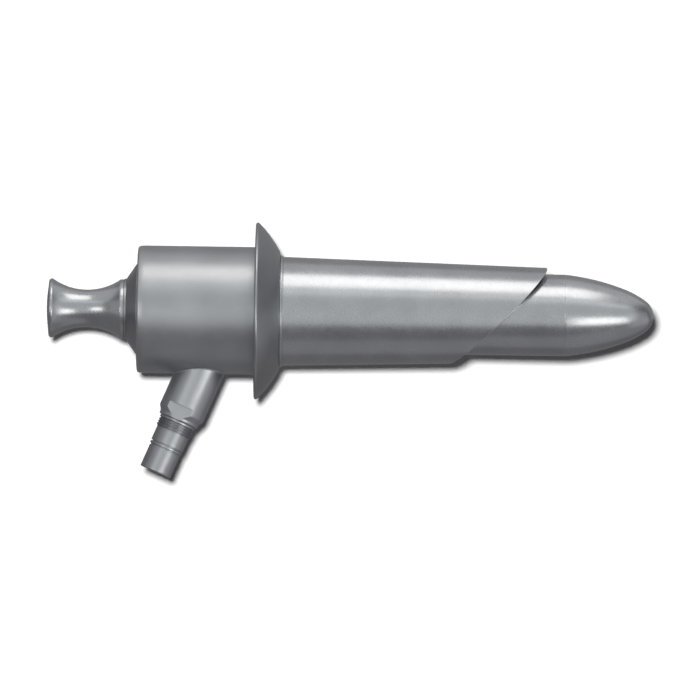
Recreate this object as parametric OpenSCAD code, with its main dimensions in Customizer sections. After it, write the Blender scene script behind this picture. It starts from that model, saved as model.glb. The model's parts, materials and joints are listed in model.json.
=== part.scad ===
// Anoscope: a bevelled steel speculum with a lit head, its obturator, and a light post with two adapters.
// Every piece is drawn about the tube's own axis: +X runs to the distal tip, X = 0 is the tube's root,
// and the light post leaves towards -Y. One last move lays the whole instrument down on a table.

/* [Tube] */
// Outer radius at the root
tube_root_r = 13.62; // [13.5:0.01:13.8]
// Outer radius at the distal end
tube_tip_r = 11.84; // [11.8:0.01:12.2]
// Length of the longer side, measured from the root
tube_len = 66; // [60:0.5:68]
// Wall thickness at the distal end
tube_wall = 1; // [0.8:0.05:1.1]
// Angle between the bevelled mouth and the axis
bevel_angle = 45; // [40:1:55]
// How far the long side of the bevel is clocked from the side opposite the light post
bevel_clock = 15; // [0:1:30]

/* [Head] */
// Outer radius of the head
head_r = 15.95; // [15.8:0.05:16.2]
// Length of the head behind the shield
head_len = 29.3; // [28:0.1:31]
// Wall of the head's shell
head_wall = 1; // [0.8:0.05:1.1]
// Round on the shell's rear edge
head_round = 0.9; // [0.4:0.1:1.2]
// Radius of the bore that guides the obturator
bore_r = 10.25; // [10.24:0.01:10.3]

/* [Shield] */
// How far the shield's flat back lies behind the tube's root
shield_back = 7.05; // [7:0.05:7.2]
// Radius of the curve of the shield's front
shield_curve_r = 29; // [28.8:0.1:29.4]
// Round on the shield's rim
rim_round = 0.5; // [0.4:0.05:0.6]

/* [Light post] */
// Station where the post's axis crosses the tube's axis
post_s = -13.9; // [-14.5:0.1:-13.5]
// Angle between the post and the tube
post_angle = 66.8; // [65:0.1:70]
// Radius of the post
post_r = 5.87; // [5.7:0.01:6]
// Distance from the axis to each wrench flat
flat_h = 4.92; // [4.8:0.01:5]
// How far the wrench flats are turned about the post
flat_turn = -6; // [-15:1:15]
// Radius of the inner adapter's sleeve
inner_adapter_r = 4.25; // [4.2:0.01:4.3]
// Radius of the outer adapter, which a light cable clips onto
outer_adapter_r = 4.05; // [4:0.01:4.1]

/* [Obturator] */
// Radius of the barrel
barrel_r = 10.2; // [10.15:0.01:10.2]
// Wall of the barrel
barrel_wall = 0.9; // [0.7:0.05:1.1]
// Station where the rounded nose begins
nose_s = 70.25; // [69.5:0.25:71]
// Radius of the nose's long curve
nose_curve_r = 57; // [55:0.5:59]
// Radius of the nose's shoulder, between the long curve and the tip
nose_shoulder_r = 22.5; // [21:0.5:24]
// Length of the thumb knob
knob_len = 18.8; // [18:0.1:20]
// Radius of the knob's rim
knob_r = 7.4; // [7.2:0.05:7.5]
// Smallest radius of the knob's waist
waist_r = 4.7; // [4.4:0.05:5]

/* [Hidden] */
$fn = 96;

// Colours of the finishes
satin_steel = "#9aa0a3";
turned_steel = "#8a8f92";
dark_steel = "#6e7275";
glass_fibre = "#d8e4d0";
clear_glass = "#cfe6ee";
black_sheath = "#2b2b2e";

// Small distances used throughout
seat_gap = 0.03;       // between pieces that stop against each other
thread_clear = 0.05;   // between a thread's crest and its hole
overcut = 1;           // how far a cut runs past the face that it starts from
reach = 100;           // longer than any cut needs

// Tube
spigot_r = 13.1;                       // the tube's rear end, which the shield is brazed onto
tube_bore_root_r = 12.4;
tube_bore_tip_r = tube_tip_r - tube_wall;
tube_rear = -shield_back - 2.4;
collar_back = -0.85;
collar_r = 14;
collar_bead = 0.3;
collar_lip = 0.12;                     // how far the collar's plain front stands above the tube

// Head
head_front = -shield_back;
head_rear = head_front - head_len;
head_inner_r = head_r - head_wall;
rear_wall = 2.2;
seat_hub_r = 13.2;
seat_front = head_rear + 6;
sleeve_r = bore_r + 0.7;
sleeve_front = 0;

// Fibres
light_ring_back = -4;
light_ring_front = -0.3;
fan_back = -24;
bundle_r = 2;
sheath_r = 2.6;
sheath_inner_radius = 13.5;            // how near the tube's axis the sheath ends

// Shield
shield_curve_s = -26.58;               // centre of the front's curve, along the axis
shield_curve_h = 1.35;                 // and off the axis
shield_hub_r = 14.95;
collar_seat_r = 14.65;                 // the recess that the root collar's bead covers
rim_s = head_front + rim_round;
rim_h = shield_curve_h
    + sqrt(pow(shield_curve_r - rim_round, 2) - pow(rim_s - shield_curve_s, 2));
rim_dir = [rim_h - shield_curve_h, rim_s - shield_curve_s] / (shield_curve_r - rim_round);
rim_touch = [shield_curve_h, shield_curve_s] + shield_curve_r * rim_dir;
hub_front = shield_curve_s + sqrt(pow(shield_curve_r, 2) - pow(shield_hub_r - shield_curve_h, 2));

// Light post, as distances along its own axis from the tube's axis
flat_from = 26.5;
chamfer_from = 28.1;
chamfer_to = 29.4;
post_rim_r = 5.12;
post_end = 30.3;
post_end_bevel = 0.2;
post_end_r = 4.75;
post_thread_to = 33;
thread_r = 3.4;
thread_depth = 0.3;
thread_pitch = 0.75;
ferrule_from = 31;
ferrule_to = 39.8;
window_thick = 0.8;

// Adapters and their captive washers
post_washer_from = post_end + seat_gap;
post_washer_to = 30.95;
post_washer_r = 4.62;
inner_from = post_washer_to + seat_gap;
grip_from = 31.25;
grip_to = 33.2;
grip_r = 4.55;
grip_ribs = 3;
rib_share = 0.7;                       // of each rib's pitch that the rib itself takes
rib_depth = 0.2;
sleeve_a_from = 33.35;
sleeve_a_to = 37.05;
neck_to = 37.3;
neck_r = 3.85;
inner_thread_to = 40;
thread_relief = 0.1;                   // room past the end of a thread in its hole
adapter_washer_from = neck_to + seat_gap;
adapter_washer_to = 37.95;
adapter_washer_r = 4.22;
outer_from = adapter_washer_to + seat_gap;
sleeve_b_from = 38.3;
post_tip = 44.2;
tip_round = 0.25;
adapter_bore_r = sheath_r + 0.06;
inlet_r = 3;
inlet_from = 40.45;
lead_in = 0.3;

// Obturator
plug_len = 6;
rod_r = 2.5;
rod_thread_r = 2.5;
rod_thread_depth = 0.35;
rod_thread_pitch = 0.8;
rod_rear = -47.6;
rod_front = 76;
nose_spigot_len = 6;
cone_front = head_rear - 0.05;
cone_rear = cone_front - 2.7;
cone_r = 11.5;
cone_land = 0.15;
cone_small_r = 7.75;
neck_from = cone_rear - 0.6;
neck_washer_r = 7.6;

// Nose: a long curve that leaves the barrel at a slight break, a rounder shoulder, and the tip. Each
// angle is the outline's slope where a curve begins, and each curve runs on smoothly from the last
nose_break = 5.2;
shoulder_slope = 21;
tip_slope = 36;
nose_curve_s = nose_s - nose_curve_r * sin(nose_break);
nose_curve_h = barrel_r - nose_curve_r * cos(nose_break);
shoulder_s = nose_curve_s + (nose_curve_r - nose_shoulder_r) * sin(shoulder_slope);
shoulder_h = nose_curve_h + (nose_curve_r - nose_shoulder_r) * cos(shoulder_slope);
shoulder_from = nose_curve_s + nose_curve_r * sin(shoulder_slope);
nose_tip_r = nose_shoulder_r + shoulder_h / cos(tip_slope);
nose_tip_s = shoulder_s + (nose_shoulder_r - nose_tip_r) * sin(tip_slope);
tip_from = nose_tip_s + nose_tip_r * sin(tip_slope);

// Knob
knob_front = neck_from - seat_gap;
knob_rear = knob_front - knob_len;
bead_r = 0.7;
bead_h = knob_r - bead_r;
rear_bead_s = knob_rear + bead_r;
knob_land = 0.7;                       // plain band between the front bead and the front face
knob_edge = 0.15;
front_bead_s = knob_front - knob_land;
waist_s = (rear_bead_s + front_bead_s) / 2;
// The waist is one arc that meets both beads where they lean inward, and bites a hair into them
waist_bite = 0.02;
waist_half = (front_bead_s - rear_bead_s) / 2;
waist_drop = bead_h - waist_r;
touch_r = bead_r - waist_bite;
waist_curve_r = (pow(waist_drop, 2) + pow(waist_half, 2) - pow(touch_r, 2)) / (2 * (waist_drop + touch_r));
waist_top_h = bead_h + 0.8 * bead_r;
dome_r = 38.7;
dome_rise = 0.5;                       // how far the domed end stands past the rear bead
dome_s = knob_rear - dome_rise + dome_r;
knob_hole_to = rod_rear - 1;

// Resting pose: the shield's rim and the nose touch the table, so the nose dips
dip_a = nose_curve_s - rim_s;
dip_b = nose_curve_h - rim_h;
dip = asin((rim_round - nose_curve_r) / norm([dip_a, dip_b])) - atan2(dip_b, dip_a);
axis_height = rim_s * sin(dip) + rim_h * cos(dip) + rim_round;
// The post's tip touches too, which sets how far the instrument rolls
tip_a = post_tip - tip_round;
tip_b = outer_adapter_r - tip_round;
tip_drop = axis_height - post_s * sin(dip) - tip_round;
post_fall = asin(tip_drop / norm([tip_a, tip_b])) - atan2(tip_b, tip_a);
roll = asin((sin(post_fall) + cos(post_angle) * sin(dip)) / (sin(post_angle) * cos(dip)));
// Middle of the laid-down instrument
x_high = nose_tip_s * cos(dip) + nose_tip_r;
x_low = rear_bead_s * cos(dip) - bead_h * sin(dip) - bead_r;
y_high = rim_h + rim_round;
post_across = -sin(post_angle) * cos(roll);
y_low = post_across * tip_a - tip_b * sqrt(1 - pow(post_across, 2)) - tip_round;

// Lays a piece down, with the table at Z = 0 and the middle of the instrument over the origin
module lay_down() {
    translate([-(x_low + x_high) / 2, -(y_low + y_high) / 2, axis_height])
        rotate([0, dip, 0]) rotate([roll, 0, 0]) children();
}

// Turns an outline, drawn as [radius, station], about the tube's axis
module turned() {
    lay_down() rotate([0, 90, 0]) rotate_extrude() children();
}

// Frame of the light post: +Z runs outward along the post, +Y is square to the post and the tube
module in_post_frame() {
    translate([post_s, 0, 0]) rotate([0, 0, post_angle - 90]) rotate([90, 0, 0]) children();
}

module on_post() {
    lay_down() in_post_frame() children();
}

// A plain ring between two radii and two stations
module ring_outline(r1, r2, from, to) {
    translate([r1, from]) square([r2 - r1, to - from]);
}

// Half of a disc, kept on the outer side of the axis
module arc_outline(r, h, s) {
    intersection() {
        translate([h, s]) circle(r);
        translate([0, s - reach]) square([reach, 2 * reach]);
    }
}

// Solid threaded rod, its thread drawn as evenly spaced V grooves, with a bevel at its end
module threaded_outline(r, depth, pitch, from, to) {
    first = 0.15;
    flank = 0.35;
    bevel = 0.1;
    turns = floor((to - from) / pitch);
    grooves = [for (i = [0 : turns - 1], k = [0 : 2])
        [k == 1 ? r - depth : r, from + (i + first + flank * k) * pitch]];
    polygon(concat(
        [[0, from], [r, from]], grooves, [[r, to - bevel], [r - bevel, to], [0, to]]));
}

// Everything in front of the tube's bevelled mouth
module beyond_bevel() {
    rotate([bevel_clock, 0, 0])
        translate([tube_len, tube_tip_r, 0])
            rotate([0, 0, -bevel_angle])
                translate([0, -reach, -reach]) cube([reach, 2 * reach, 2 * reach]);
}

// Speculum
module speculum_tube() {
    color(satin_steel) difference() {
        turned() polygon([
            [tube_bore_root_r, tube_rear], [spigot_r, tube_rear], [spigot_r, 0], [tube_root_r, 0],
            [tube_tip_r, tube_len], [tube_bore_tip_r, tube_len], [tube_bore_root_r, 0]
        ]);
        lay_down() beyond_bevel();
    }
}

module root_collar() {
    color(turned_steel) turned() union() {
        ring_outline(spigot_r, collar_r - collar_bead, collar_back, 0);
        translate([collar_r - collar_bead, collar_back + collar_bead]) circle(collar_bead);
        ring_outline(spigot_r, tube_root_r + collar_lip, collar_back + collar_bead, 0);
    }
}

module conical_shield() {
    color(turned_steel) turned() union() {
        ring_outline(spigot_r, head_inner_r, tube_rear, rim_touch[1]);
        intersection() {
            arc_outline(shield_curve_r, shield_curve_h, shield_curve_s);
            ring_outline(spigot_r, reach, rim_touch[1], hub_front);
        }
        translate([rim_h, rim_s]) circle(rim_round);
        polygon([
            [spigot_r, head_front], [rim_h, head_front], [rim_h, rim_s], rim_touch,
            [shield_hub_r, hub_front], [spigot_r, hub_front]
        ]);
        ring_outline(spigot_r, collar_seat_r, head_front, collar_back);
    }
}

module head_shell() {
    color(satin_steel) difference() {
        turned() difference() {
            union() {
                ring_outline(head_inner_r, head_r - head_round, head_rear, head_front);
                ring_outline(head_r - head_round, head_r, head_rear + head_round, head_front);
                translate([head_r - head_round, head_rear + head_round]) circle(head_round);
            }
            ring_outline(0, head_inner_r, head_rear - overcut, head_front + overcut);
        }
        on_post() cylinder(h = post_end, r = sheath_r);
    }
}

// Rear wall of the head, and the bush that guides the obturator
module seat_ring() {
    color(turned_steel) turned() union() {
        ring_outline(bore_r, head_inner_r, head_rear, head_rear + rear_wall);
        ring_outline(bore_r, seat_hub_r, head_rear, seat_front);
    }
}

module inner_sleeve() {
    color(satin_steel) turned() ring_outline(bore_r, sleeve_r, seat_front, sleeve_front);
}

module light_ring() {
    color(glass_fibre) turned()
        ring_outline(sleeve_r, tube_bore_root_r, light_ring_back, light_ring_front);
}

module fibre_bundle() {
    color(glass_fibre) union() {
        turned() ring_outline(sleeve_r, tube_bore_root_r, fan_back, light_ring_back);
        difference() {
            on_post() cylinder(h = ferrule_to - window_thick, r = bundle_r);
            turned() ring_outline(0, (sleeve_r + tube_bore_root_r) / 2, head_rear, 0);
        }
    }
}

module bundle_sheath() {
    color(black_sheath) difference() {
        on_post() difference() {
            cylinder(h = ferrule_from, r = sheath_r);
            translate([0, 0, -overcut]) cylinder(h = reach, r = bundle_r);
        }
        turned() ring_outline(0, sheath_inner_radius, head_rear, 0);
    }
}

module light_post() {
    color(turned_steel) difference() {
        on_post() post_body();
        turned() ring_outline(0, head_r, head_rear - overcut, head_front + overcut);
        on_post() cylinder(h = reach, r = sheath_r);
    }
}

// The post's outside: a plain stem, two wrench flats, a chamfer and a threaded end
module post_body() {
    difference() {
        rotate_extrude() union() {
            polygon([
                [0, 0], [post_r, 0], [post_r, chamfer_from], [post_rim_r, chamfer_to],
                [post_rim_r, post_end - post_end_bevel], [post_end_r, post_end], [0, post_end]
            ]);
            threaded_outline(thread_r, thread_depth, thread_pitch, post_end, post_thread_to);
        }
        for (side = [0, 180])
            rotate([0, 0, side - flat_turn])
                translate([-post_r, flat_h, flat_from]) cube([2 * post_r, post_r, post_end]);
    }
}

module post_ferrule() {
    color(satin_steel) on_post() rotate_extrude()
        ring_outline(bundle_r, sheath_r, ferrule_from, ferrule_to);
}

module light_window() {
    color(clear_glass) on_post() translate([0, 0, ferrule_to - window_thick])
        cylinder(h = window_thick, r = bundle_r);
}

// Adapters
module post_washer() {
    color(turned_steel) on_post() rotate_extrude()
        ring_outline(thread_r + thread_clear, post_washer_r, post_washer_from, post_washer_to);
}

module inner_adapter() {
    rib = (grip_to - grip_from) / grip_ribs;
    color(dark_steel) on_post() rotate_extrude() difference() {
        union() {
            ring_outline(0, grip_r - rib_depth, inner_from, sleeve_a_from);
            for (i = [0 : grip_ribs - 1])
                ring_outline(0, grip_r, grip_from + i * rib, grip_from + (i + rib_share) * rib);
            ring_outline(0, inner_adapter_r, sleeve_a_from, sleeve_a_to);
            ring_outline(0, neck_r, sleeve_a_to, neck_to);
            threaded_outline(thread_r, thread_depth, thread_pitch, neck_to, inner_thread_to);
        }
        ring_outline(0, adapter_bore_r, inner_from - overcut, post_tip);
        ring_outline(0, thread_r + thread_clear, inner_from - overcut,
            post_thread_to + thread_relief);
    }
}

module adapter_washer() {
    color(turned_steel) on_post() rotate_extrude()
        ring_outline(thread_r + thread_clear, adapter_washer_r, adapter_washer_from,
            adapter_washer_to);
}

module outer_adapter() {
    color(satin_steel) on_post() rotate_extrude() difference() {
        union() {
            ring_outline(0, neck_r, outer_from, sleeve_b_from);
            ring_outline(0, outer_adapter_r, sleeve_b_from, post_tip - tip_round);
            ring_outline(0, outer_adapter_r - tip_round, post_tip - tip_round, post_tip);
            translate([outer_adapter_r - tip_round, post_tip - tip_round]) circle(tip_round);
        }
        ring_outline(0, thread_r + thread_clear, outer_from - overcut, inlet_from);
        ring_outline(0, inlet_r, inlet_from, post_tip + overcut);
        polygon([
            [0, post_tip - lead_in], [inlet_r, post_tip - lead_in], [inlet_r + lead_in, post_tip],
            [0, post_tip]
        ]);
    }
}

// Obturator

// One stretch of the nose: the part of a disc between two stations
module nose_stretch(r, h, s, from, to) {
    intersection() {
        arc_outline(r, h, s);
        ring_outline(0, reach, from, to);
    }
}

module obturator_nose() {
    color(satin_steel) turned() difference() {
        union() {
            nose_stretch(nose_curve_r, nose_curve_h, nose_curve_s, nose_s, shoulder_from);
            nose_stretch(nose_shoulder_r, shoulder_h, shoulder_s, shoulder_from, tip_from);
            nose_stretch(nose_tip_r, 0, nose_tip_s, tip_from, nose_tip_s + nose_tip_r);
            ring_outline(0, barrel_r - barrel_wall, nose_s - nose_spigot_len, nose_s);
        }
        ring_outline(0, rod_r, nose_s - nose_spigot_len, rod_front);
    }
}

module obturator_barrel() {
    color(satin_steel) turned()
        ring_outline(barrel_r - barrel_wall, barrel_r, cone_front, nose_s);
}

module barrel_plug() {
    color(turned_steel) turned()
        ring_outline(rod_r, barrel_r - barrel_wall, cone_front, cone_front + plug_len);
}

module obturator_rod() {
    color(dark_steel) turned() union() {
        threaded_outline(rod_thread_r, rod_thread_depth, rod_thread_pitch, rod_rear, cone_rear);
        ring_outline(0, rod_r, cone_rear, rod_front);
    }
}

module stop_cone() {
    color(dark_steel) turned() polygon([
        [rod_r, cone_rear], [cone_small_r, cone_rear], [cone_r, cone_front - cone_land],
        [cone_r, cone_front], [rod_r, cone_front]
    ]);
}

module neck_washer() {
    color(dark_steel) turned()
        ring_outline(rod_r + thread_clear, neck_washer_r, neck_from, cone_rear - seat_gap);
}

module thumb_knob() {
    color(satin_steel) turned() difference() {
        union() {
            difference() {
                ring_outline(0, waist_top_h, rear_bead_s, front_bead_s);
                translate([waist_r + waist_curve_r, waist_s]) circle(waist_curve_r);
            }
            translate([bead_h, rear_bead_s]) circle(bead_r);
            translate([bead_h, front_bead_s]) circle(bead_r);
            ring_outline(0, knob_r, front_bead_s, knob_front - knob_edge);
            ring_outline(0, knob_r - knob_edge, front_bead_s, knob_front);
            translate([knob_r - knob_edge, knob_front - knob_edge]) circle(knob_edge);
            intersection() {
                arc_outline(dome_r, 0, dome_s);
                ring_outline(0, bead_h, knob_rear - overcut, rear_bead_s);
            }
        }
        ring_outline(0, rod_thread_r + thread_clear, knob_hole_to, knob_front + overcut);
    }
}

speculum_tube();
root_collar();
conical_shield();
head_shell();
seat_ring();
inner_sleeve();
light_ring();
fibre_bundle();
bundle_sheath();
light_post();
post_ferrule();
light_window();
post_washer();
inner_adapter();
adapter_washer();
outer_adapter();
obturator_nose();
obturator_barrel();
barrel_plug();
obturator_rod();
stop_cone();
neck_washer();
thumb_knob();
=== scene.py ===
# %% [markdown]
# An anoscope dressed around its frame. The frame holds every piece at its true size and place, and this
# lesson gives each piece its edges, threads and steel. Outlines are drawn in millimetres, along the axis
# that each piece was turned about, because that is how a lathe hand would draw them.

# %% Load the frame
import json
import math

import bmesh
import bpy
from mathutils import Matrix, Vector

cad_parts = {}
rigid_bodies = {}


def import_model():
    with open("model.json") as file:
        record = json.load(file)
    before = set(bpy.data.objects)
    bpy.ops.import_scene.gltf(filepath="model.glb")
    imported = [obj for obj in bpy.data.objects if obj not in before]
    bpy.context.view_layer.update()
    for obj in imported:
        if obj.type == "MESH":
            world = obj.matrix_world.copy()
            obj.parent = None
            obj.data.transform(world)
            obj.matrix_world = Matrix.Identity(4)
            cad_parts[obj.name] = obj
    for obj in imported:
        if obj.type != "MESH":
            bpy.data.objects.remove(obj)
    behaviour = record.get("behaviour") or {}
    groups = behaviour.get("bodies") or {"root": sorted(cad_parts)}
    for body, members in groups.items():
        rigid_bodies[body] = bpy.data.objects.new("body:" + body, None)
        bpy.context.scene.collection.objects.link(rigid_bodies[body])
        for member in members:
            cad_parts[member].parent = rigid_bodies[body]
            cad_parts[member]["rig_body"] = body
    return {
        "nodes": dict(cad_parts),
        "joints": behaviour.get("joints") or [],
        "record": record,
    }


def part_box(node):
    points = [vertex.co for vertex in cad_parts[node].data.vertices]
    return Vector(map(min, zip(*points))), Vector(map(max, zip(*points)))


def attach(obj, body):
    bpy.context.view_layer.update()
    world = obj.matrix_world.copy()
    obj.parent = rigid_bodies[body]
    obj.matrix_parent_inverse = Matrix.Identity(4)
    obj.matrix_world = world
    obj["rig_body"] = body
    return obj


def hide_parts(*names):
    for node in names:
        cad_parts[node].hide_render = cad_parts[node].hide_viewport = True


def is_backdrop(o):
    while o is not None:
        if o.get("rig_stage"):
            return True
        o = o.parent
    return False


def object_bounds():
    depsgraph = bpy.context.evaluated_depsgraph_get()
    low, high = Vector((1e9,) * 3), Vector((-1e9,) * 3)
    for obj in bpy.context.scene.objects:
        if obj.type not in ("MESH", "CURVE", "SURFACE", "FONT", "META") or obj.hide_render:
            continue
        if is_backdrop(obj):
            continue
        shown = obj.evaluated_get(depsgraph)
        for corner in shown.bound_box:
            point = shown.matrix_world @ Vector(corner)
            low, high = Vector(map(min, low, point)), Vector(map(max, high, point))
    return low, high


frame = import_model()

cad_low, cad_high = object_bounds()
MM = 0.001
print("frame box in mm:", [round(side / MM, 1) for side in cad_high - cad_low])

# %% [markdown]
# Two axes rule this instrument: the tube's, which the obturator slides along, and the light post's, which
# the cable mount points along. Their ways are read from the joint and the mount, not fitted by eye.
# A matrix for each lets every outline be drawn flat and simple, and then laid in place as a whole.

# %% The tube's frame and the post's frame
POST_STATION = -13.9  # where the post's axis crosses the tube's, in mm from the tube's root
POST_ANGLE = math.radians(66.8)  # between the two axes
joints = {joint["name"]: joint for joint in frame["joints"]}
mounts = {mount["name"]: mount for mount in frame["record"]["mounts"]}

tube_way = -Vector(joints["obturator_slide"]["axis"]).normalized()
post_way = Vector(mounts["light_cable_post"]["axis"]).normalized()
tube_up = -(post_way - post_way.dot(tube_way) * tube_way).normalized()
tube_side = tube_way.cross(tube_up)

mount_point = Vector(mounts["light_cable_post"]["pos_m"])
knob_point = Vector(joints["knob_turn"]["pos_m"])
offset = (knob_point - mount_point).dot(tube_up)
crossing = mount_point - post_way * offset / post_way.dot(-tube_up)
root_point = crossing - tube_way * POST_STATION * MM


def frame_matrix(x, y, z, origin):
    """A placing matrix from three square axes and an origin."""
    rotation = Matrix((x, y, z)).transposed().to_4x4()
    return Matrix.Translation(origin) @ rotation


TUBE = frame_matrix(tube_way, tube_up, tube_side, root_point)
POST = frame_matrix(tube_side.cross(post_way), tube_side, post_way, crossing)
print("tube root in mm:", [round(side / MM, 2) for side in root_point])

# %% [markdown]
# The picture was taken square to the tube from a long way off, so its lines hardly converge. A 400 mm lens
# almost two metres away gives the same flat look. The camera is set from the tube's own axes: it looks a
# few degrees round from the plane of the tube and the post, and leans so that the tube slopes slightly.

# %% Camera
LENS = 400
SENSOR = 36
FRAME_WIDTH = 175  # what the picture's width covers at the tube, in mm
VIEW_TURN = math.radians(3.3)
VIEW_LEAN = math.radians(0.85)
CENTRE_ALONG = 16.75  # from the tube's root to the middle of the picture, in mm
CENTRE_BELOW = 9.68


def add_object(name, data):
    """A new object in the scene."""
    made = bpy.data.objects.new(name, data)
    bpy.context.scene.collection.objects.link(made)
    return made


view_up_flat = tube_up * math.cos(VIEW_TURN) + tube_side * math.sin(VIEW_TURN)
view_back = tube_side * math.cos(VIEW_TURN) - tube_up * math.sin(VIEW_TURN)
view_right = tube_way * math.cos(VIEW_LEAN) + view_up_flat * math.sin(VIEW_LEAN)
view_up = view_up_flat * math.cos(VIEW_LEAN) - tube_way * math.sin(VIEW_LEAN)

camera_data = bpy.data.cameras.new("camera")
camera_data.lens = LENS
camera_data.sensor_width = SENSOR
camera_distance = FRAME_WIDTH * MM * LENS / SENSOR
camera_data.clip_start = camera_distance / 10
camera_data.clip_end = camera_distance * 10
camera = add_object("camera", camera_data)
aim = root_point + (view_right * CENTRE_ALONG - view_up * CENTRE_BELOW) * MM
camera.matrix_world = frame_matrix(view_right, view_up, view_back, aim + view_back * camera_distance)
bpy.context.scene.camera = camera
bpy.context.scene.view_settings.view_transform = "Standard"
print("camera distance in m:", round(camera_distance, 3))

# %% [markdown]
# A finish is a small sum of patterns: turning rings, fine grain, clouding and worn edges. Node graphs hide
# such sums in boxes and wires. Here one class wraps a socket and overloads the arithmetic signs, so that
# a sum on the page becomes Math nodes in the material and stays readable.

# %% A wire that can be added and multiplied
class Wire:
    """An output socket. Arithmetic on it adds Math nodes to its graph."""

    def __init__(self, graph, socket):
        self.graph = graph
        self.socket = socket

    def math(self, operation, *values):
        return self.graph.node("ShaderNodeMath", {"operation": operation}, dict(enumerate(values)))

    def __add__(self, other):
        return self.math("ADD", self, other)

    __radd__ = __add__

    def __sub__(self, other):
        return self.math("SUBTRACT", self, other)

    def __rsub__(self, other):
        return self.math("SUBTRACT", other, self)

    def __mul__(self, other):
        return self.math("MULTIPLY", self, other)

    __rmul__ = __mul__


class Graph:
    """The nodes of one material or world."""

    def __init__(self, tree):
        self.tree = tree

    def node(self, kind, settings=None, inputs=None, output=0):
        """Adds a node. Its settings are set first, and then the values or wires of its sockets."""
        made = self.tree.nodes.new(kind)
        for name, value in (settings or {}).items():
            setattr(made, name, value)
        for key, value in (inputs or {}).items():
            if isinstance(value, Wire):
                self.feed(made.inputs[key], value)
            else:
                made.inputs[key].default_value = value
        return Wire(self, made.outputs[output])

    def feed(self, socket, wire):
        """Leads a wire into a socket that is there already."""
        self.tree.links.new(wire.socket, socket)

    def noise(self, place, scale, detail=2.0):
        """Noise with a number of waves in each millimetre."""
        inputs = {"Vector": place, "Scale": scale, "Detail": detail}
        return self.node("ShaderNodeTexNoise", None, inputs)

    def smooth(self, value, low, high):
        """0 below low, 1 above high, and an easy slope between."""
        inputs = {"Value": value, "From Min": low, "From Max": high}
        return self.node("ShaderNodeMapRange", {"interpolation_type": "SMOOTHSTEP"}, inputs)

    def mix(self, factor, first, second):
        """A blend of two colours."""
        settings = {"data_type": "RGBA"}
        return self.node("ShaderNodeMix", settings, {0: factor, 6: first, 7: second}, output=2)


def colour(red, green, blue):
    """A colour with full alpha."""
    return (red, green, blue, 1.0)


def new_material(name):
    """A material, its graph and its main shader."""
    material = bpy.data.materials.new(name)
    material.use_nodes = True
    tree = material.node_tree
    return material, Graph(tree), tree.nodes["Principled BSDF"]


print("the node wrapper is ready")

# %% [markdown]
# A turned surface carries rings: every pass of the tool leaves a faint groove around the axis. The pattern
# only needs two coordinates, how far along the axis a point lies and how far from it, and noise in those
# two is the same all the way round. It works on flat faces too, where the rings become circles. A dot
# product gives the first coordinate, and the length of a cross product gives the second.

# %% Where a point of a turned piece lies
def place_in_mm(graph):
    """A point's place at rest, in millimetres."""
    place = graph.node("ShaderNodeTexCoord", output="Object")
    inputs = {"Vector": place, "Scale": 1 / MM}
    return graph.node("ShaderNodeVectorMath", {"operation": "SCALE"}, inputs)


def ring_place(graph, place, origin, way):
    """Station along an axis and distance from it, as a vector for a pattern of rings."""

    def vector_math(operation, first, second, output=0):
        return graph.node("ShaderNodeVectorMath", {"operation": operation}, {0: first, 1: second}, output)

    offset = vector_math("SUBTRACT", place, origin / MM)
    station = vector_math("DOT_PRODUCT", offset, way, "Value")
    across = vector_math("CROSS_PRODUCT", offset, way)
    distance = graph.node("ShaderNodeVectorMath", {"operation": "LENGTH"}, {0: across}, "Value")
    return graph.node("ShaderNodeCombineXYZ", None, {"X": station, "Y": distance})


print("patterns are measured from", [round(part / MM, 1) for part in root_point], "in mm")

# %% [markdown]
# All the steels share one recipe and differ in numbers. Rings and grain go to the bump, clouding to the
# colour and the roughness, and the edges, which hands and trays polish, are a little smoother and
# brighter. The edge mask comes from the mesh, where the points of rounded corners are marked.

# %% The steel recipe
DULL, BRIGHT, WORN = 0.95, 1.04, 1.12  # shares of the tint in clouded, clear and worn places
WEAR_TINT = 0.7
# how far clouds, smears, rings and wear move the roughness
BY_CLOUD, BY_SMEAR, BY_RING, BY_WEAR = 0.03, 0.03, 0.04, 0.05


def shade(tint, share):
    """A tint made darker or lighter."""
    return colour(*[part * share for part in tint])


def steel(name, tint, roughness, rings, grain, origin=root_point, way=tube_way):
    """Steel with turning rings and fine grain, whose heights are given in microns."""
    material, graph, shader = new_material(name)
    place = place_in_mm(graph)
    around = ring_place(graph, place, origin, way)
    edge = graph.node("ShaderNodeAttribute", {"attribute_name": "edge"}, output="Fac")
    broad_rings = graph.noise(around, 1.6)
    fine_rings = graph.noise(around, 7.0)
    grit = graph.noise(place, 9.0)
    cloud = graph.smooth(graph.noise(place, 0.11, 3.0), 0.3, 0.7)
    smear = graph.smooth(graph.noise(place, 0.6, 3.0), 0.35, 0.7)

    surface = graph.mix(cloud, shade(tint, DULL), shade(tint, BRIGHT))
    finished = graph.mix(edge * WEAR_TINT, surface, shade(tint, WORN))
    graph.feed(shader.inputs["Base Color"], finished)

    dullness = roughness + BY_CLOUD * (cloud - 0.5) + BY_SMEAR * (smear - 0.5) + BY_RING * (fine_rings - 0.5)
    graph.feed(shader.inputs["Roughness"], dullness - BY_WEAR * edge)

    height = rings * (broad_rings + 0.4 * fine_rings) + grain * grit
    inputs = {"Strength": 1.0, "Distance": MM * MM, "Height": height}
    bump = graph.node("ShaderNodeBump", None, inputs)
    graph.feed(shader.inputs["Normal"], bump)
    shader.inputs["Metallic"].default_value = 1.0
    return material


print("the rings run around", [round(part, 3) for part in tube_way])
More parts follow.
